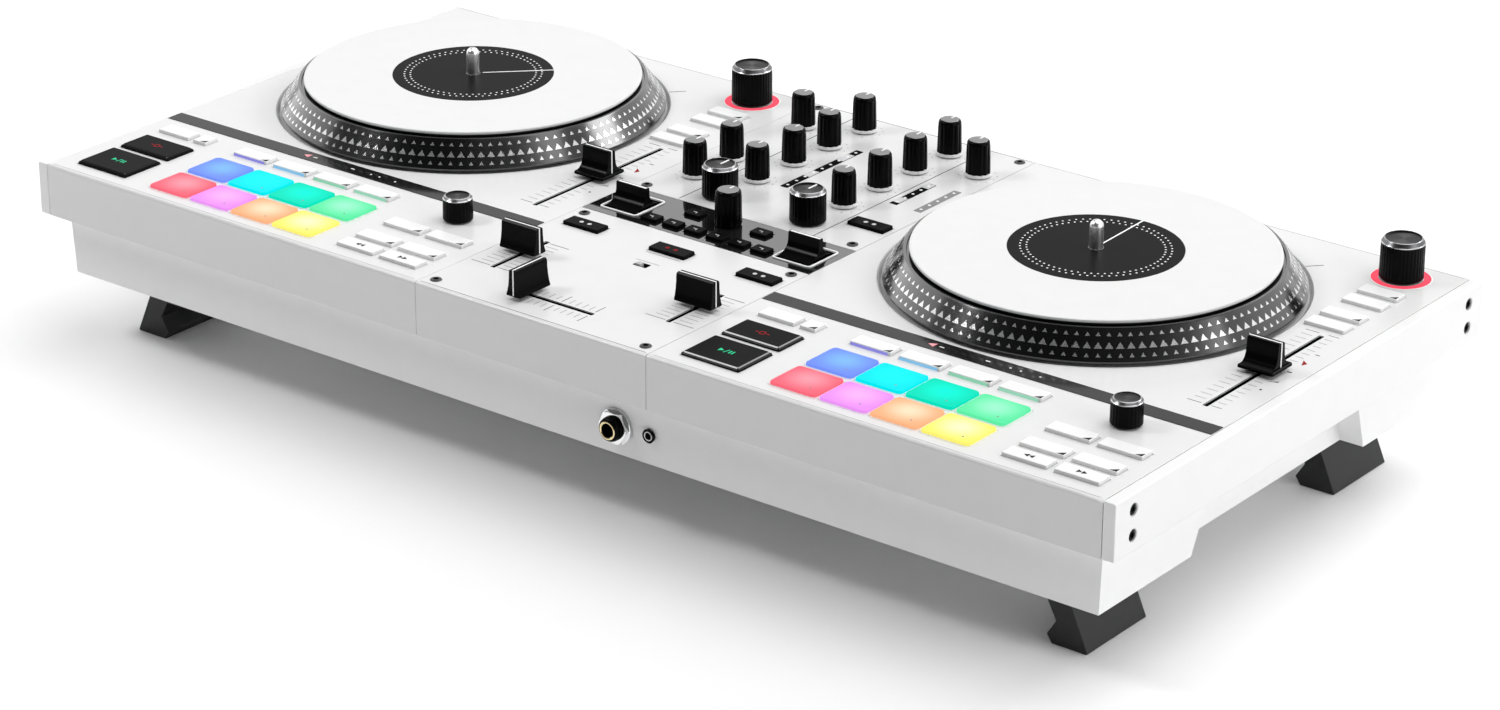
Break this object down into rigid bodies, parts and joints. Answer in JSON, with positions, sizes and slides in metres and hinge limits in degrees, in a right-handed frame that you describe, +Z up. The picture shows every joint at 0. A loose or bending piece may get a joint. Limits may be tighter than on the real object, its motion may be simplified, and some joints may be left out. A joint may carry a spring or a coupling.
{
  "type": "dj controller",
  "caption": "DJ controller with motorised vinyl-topped platters, a central mixer with knobs and faders, performance pads, and a stepped white housing on flared feet.",
  "frame": {"origin": "centre of the bounding box in plan, on the surface that the feet stand on", "axes": "+X to the user's right, +Y to the rear, +Z up"},
  "size_m": [0.687, 0.331, 0.133],
  "materials": {
    "white_paint": "satin white powder coat",
    "white_plastic": "satin white",
    "black_plastic": "fine satin",
    "black_gloss": "high gloss",
    "black_rubber": "matte",
    "black_felt": "felt",
    "black_aluminium": "black with pale strobe marks",
    "white_vinyl": "smooth gloss",
    "pad_silicone": "backlit translucent silicone",
    "chrome": "polished",
    "steel": "plain",
    "circuit_board": "solder mask"
  },
  "bodies": {
    "chassis": {"bottom_housing": "white_plastic", "deck_plate_1": "white_paint", "deck_plate_2": "white_paint", "mixer_plate": "white_paint", "left_cheek": "white_paint", "right_cheek": "white_paint", "effects_panel": "black_gloss", "main_board": "circuit_board", "motor_1": "steel", "motor_2": "steel", "headphone_socket_large": "chrome", "headphone_socket_small": "black_plastic", "rear_connectors": "black_plastic", "front_left_foot": "black_rubber", "front_right_foot": "black_rubber", "rear_left_foot": "black_rubber", "rear_right_foot": "black_rubber"},
    "deck_1_platter": {"platter_1": "black_aluminium", "slipmat_1": "black_felt", "vinyl_1": "white_vinyl", "spindle_1": "chrome"},
    "deck_2_platter": {"platter_2": "black_aluminium", "slipmat_2": "black_felt", "vinyl_2": "white_vinyl", "spindle_2": "chrome"},
    "play_key_1": {"play_key_1": "black_gloss"},
    "cue_key_1": {"cue_key_1": "black_gloss"},
    "pads_1": {"pads_1": "pad_silicone"},
    "deck_keys_1": {"deck_keys_1": "white_plastic"},
    "tempo_fader_1": {"tempo_fader_1": "black_plastic"},
    "loop_encoder_1": {"loop_encoder_1": "black_plastic"},
    "browse_encoder_1": {"browse_encoder_1": "black_plastic"},
    "play_key_2": {"play_key_2": "black_gloss"},
    "cue_key_2": {"cue_key_2": "black_gloss"},
    "pads_2": {"pads_2": "pad_silicone"},
    "deck_keys_2": {"deck_keys_2": "white_plastic"},
    "tempo_fader_2": {"tempo_fader_2": "black_plastic"},
    "loop_encoder_2": {"loop_encoder_2": "black_plastic"},
    "browse_encoder_2": {"browse_encoder_2": "black_plastic"},
    "volume_fader_1": {"volume_fader_1": "black_plastic"},
    "volume_fader_2": {"volume_fader_2": "black_plastic"},
    "crossfader": {"crossfader": "black_plastic"},
    "effects_paddle_1": {"effects_paddle_1": "black_plastic"},
    "effects_paddle_2": {"effects_paddle_2": "black_plastic"},
    "mixer_keys": {"mixer_keys": "black_plastic"},
    "gain_knob_1": {"gain_knob_1": "black_plastic"},
    "high_knob_1": {"high_knob_1": "black_plastic"},
    "mid_knob_1": {"mid_knob_1": "black_plastic"},
    "low_knob_1": {"low_knob_1": "black_plastic"},
    "gain_knob_2": {"gain_knob_2": "black_plastic"},
    "high_knob_2": {"high_knob_2": "black_plastic"},
    "mid_knob_2": {"mid_knob_2": "black_plastic"},
    "low_knob_2": {"low_knob_2": "black_plastic"},
    "master_knob": {"master_knob": "black_plastic"},
    "monitor_mix_knob": {"monitor_mix_knob": "black_plastic"},
    "monitor_level_knob": {"monitor_level_knob": "black_plastic"},
    "microphone_knob": {"microphone_knob": "black_plastic"},
    "filter_knob_1": {"filter_knob_1": "black_plastic"},
    "filter_knob_2": {"filter_knob_2": "black_plastic"},
    "effects_knob": {"effects_knob": "black_plastic"}
  },
  "joints": [
    {"name": "platter_1_spin", "type": "hinge", "parent": "chassis", "child": "deck_1_platter", "pos_m": [-0.2205, 0.0458, 0.11], "axis": [0, 0, 1], "continuous": true},
    {"name": "platter_2_spin", "type": "hinge", "parent": "chassis", "child": "deck_2_platter", "pos_m": [0.1908, 0.0458, 0.11], "axis": [0, 0, 1], "continuous": true},
    {"name": "play_key_1_press", "type": "slide", "parent": "chassis", "child": "play_key_1", "axis": [0, 0, -1], "range_m": [0, 0.001], "stiffness_N_per_m": 1500, "springref_m": -0.001},
    {"name": "cue_key_1_press", "type": "slide", "parent": "chassis", "child": "cue_key_1", "axis": [0, 0, -1], "range_m": [0, 0.001], "stiffness_N_per_m": 1500, "springref_m": -0.001},
    {"name": "pads_1_press", "type": "slide", "parent": "chassis", "child": "pads_1", "axis": [0, 0, -1], "range_m": [0, 0.0008], "stiffness_N_per_m": 1500, "springref_m": -0.001},
    {"name": "deck_keys_1_press", "type": "slide", "parent": "chassis", "child": "deck_keys_1", "axis": [0, 0, -1], "range_m": [0, 0.0008], "stiffness_N_per_m": 1500, "springref_m": -0.001},
    {"name": "tempo_fader_1_slide", "type": "slide", "parent": "chassis", "child": "tempo_fader_1", "axis": [0, 1, 0], "range_m": [-0.05, 0.05]},
    {"name": "loop_encoder_1_turn", "type": "hinge", "parent": "chassis", "child": "loop_encoder_1", "pos_m": [-0.1122, -0.0899, 0.105], "axis": [0, 0, 1], "continuous": true},
    {"name": "browse_encoder_1_turn", "type": "hinge", "parent": "chassis", "child": "browse_encoder_1", "pos_m": [-0.1025, 0.1441, 0.105], "axis": [0, 0, 1], "continuous": true},
    {"name": "play_key_2_press", "type": "slide", "parent": "chassis", "child": "play_key_2", "axis": [0, 0, -1], "range_m": [0, 0.001], "stiffness_N_per_m": 1500, "springref_m": -0.001},
    {"name": "cue_key_2_press", "type": "slide", "parent": "chassis", "child": "cue_key_2", "axis": [0, 0, -1], "range_m": [0, 0.001], "stiffness_N_per_m": 1500, "springref_m": -0.001},
    {"name": "pads_2_press", "type": "slide", "parent": "chassis", "child": "pads_2", "axis": [0, 0, -1], "range_m": [0, 0.0008], "stiffness_N_per_m": 1500, "springref_m": -0.001},
    {"name": "deck_keys_2_press", "type": "slide", "parent": "chassis", "child": "deck_keys_2", "axis": [0, 0, -1], "range_m": [0, 0.0008], "stiffness_N_per_m": 1500, "springref_m": -0.001},
    {"name": "tempo_fader_2_slide", "type": "slide", "parent": "chassis", "child": "tempo_fader_2", "axis": [0, 1, 0], "range_m": [-0.05, 0.05]},
    {"name": "loop_encoder_2_turn", "type": "hinge", "parent": "chassis", "child": "loop_encoder_2", "pos_m": [0.2991, -0.0899, 0.105], "axis": [0, 0, 1], "continuous": true},
    {"name": "browse_encoder_2_turn", "type": "hinge", "parent": "chassis", "child": "browse_encoder_2", "pos_m": [0.3088, 0.1441, 0.105], "axis": [0, 0, 1], "continuous": true},
    {"name": "volume_fader_1_slide", "type": "slide", "parent": "chassis", "child": "volume_fader_1", "axis": [0, 1, 0], "range_m": [-0.0208, 0.0172]},
    {"name": "volume_fader_2_slide", "type": "slide", "parent": "chassis", "child": "volume_fader_2", "axis": [0, 1, 0], "range_m": [-0.021, 0.017]},
    {"name": "crossfader_slide", "type": "slide", "parent": "chassis", "child": "crossfader", "axis": [1, 0, 0], "range_m": [-0.001, 0.039]},
    {"name": "effects_paddle_1_tilt", "type": "hinge", "parent": "chassis", "child": "effects_paddle_1", "pos_m": [-0.0556, -0.0169, 0.094], "axis": [1, 0, 0], "range_deg": [-10, 10], "stiffness_Nm_per_rad": 0.08},
    {"name": "effects_paddle_2_tilt", "type": "hinge", "parent": "chassis", "child": "effects_paddle_2", "pos_m": [0.0572, -0.0169, 0.094], "axis": [1, 0, 0], "range_deg": [-10, 10], "stiffness_Nm_per_rad": 0.08},
    {"name": "mixer_keys_press", "type": "slide", "parent": "chassis", "child": "mixer_keys", "axis": [0, 0, -1], "range_m": [0, 0.0008], "stiffness_N_per_m": 1500, "springref_m": -0.001},
    {"name": "gain_knob_1_turn", "type": "hinge", "parent": "chassis", "child": "gain_knob_1", "pos_m": [-0.0262, 0.1455, 0.105], "axis": [0, 0, 1], "range_deg": [-150, 150]},
    {"name": "high_knob_1_turn", "type": "hinge", "parent": "chassis", "child": "high_knob_1", "pos_m": [-0.0262, 0.1137, 0.105], "axis": [0, 0, 1], "range_deg": [-150, 150]},
    {"name": "mid_knob_1_turn", "type": "hinge", "parent": "chassis", "child": "mid_knob_1", "pos_m": [-0.0262, 0.0825, 0.105], "axis": [0, 0, 1], "range_deg": [-150, 150]},
    {"name": "low_knob_1_turn", "type": "hinge", "parent": "chassis", "child": "low_knob_1", "pos_m": [-0.0262, 0.0507, 0.105], "axis": [0, 0, 1], "range_deg": [-150, 150]},
    {"name": "gain_knob_2_turn", "type": "hinge", "parent": "chassis", "child": "gain_knob_2", "pos_m": [0.0312, 0.1445, 0.105], "axis": [0, 0, 1], "range_deg": [-150, 150]},
    {"name": "high_knob_2_turn", "type": "hinge", "parent": "chassis", "child": "high_knob_2", "pos_m": [0.0312, 0.1131, 0.105], "axis": [0, 0, 1], "range_deg": [-150, 150]},
    {"name": "mid_knob_2_turn", "type": "hinge", "parent": "chassis", "child": "mid_knob_2", "pos_m": [0.0312, 0.0817, 0.105], "axis": [0, 0, 1], "range_deg": [-150, 150]},
    {"name": "low_knob_2_turn", "type": "hinge", "parent": "chassis", "child": "low_knob_2", "pos_m": [0.0312, 0.0501, 0.105], "axis": [0, 0, 1], "range_deg": [-150, 150]},
    {"name": "master_knob_turn", "type": "hinge", "parent": "chassis", "child": "master_knob", "pos_m": [-0.0556, 0.1293, 0.105], "axis": [0, 0, 1], "range_deg": [-150, 150]},
    {"name": "monitor_mix_knob_turn", "type": "hinge", "parent": "chassis", "child": "monitor_mix_knob", "pos_m": [-0.0562, 0.0671, 0.105], "axis": [0, 0, 1], "range_deg": [-150, 150]},
    {"name": "monitor_level_knob_turn", "type": "hinge", "parent": "chassis", "child": "monitor_level_knob", "pos_m": [-0.056, 0.0354, 0.105], "axis": [0, 0, 1], "range_deg": [-150, 150]},
    {"name": "microphone_knob_turn", "type": "hinge", "parent": "chassis", "child": "microphone_knob", "pos_m": [0.0612, 0.1285, 0.105], "axis": [0, 0, 1], "range_deg": [-150, 150]},
    {"name": "filter_knob_1_turn", "type": "hinge", "parent": "chassis", "child": "filter_knob_1", "pos_m": [-0.0272, 0.0203, 0.105], "axis": [0, 0, 1], "range_deg": [-150, 150]},
    {"name": "filter_knob_2_turn", "type": "hinge", "parent": "chassis", "child": "filter_knob_2", "pos_m": [0.0302, 0.0205, 0.105], "axis": [0, 0, 1], "range_deg": [-150, 150]},
    {"name": "effects_knob_turn", "type": "hinge", "parent": "chassis", "child": "effects_knob", "pos_m": [0.0008, -0.0083, 0.105], "axis": [0, 0, 1], "range_deg": [-150, 150]}
  ]
}
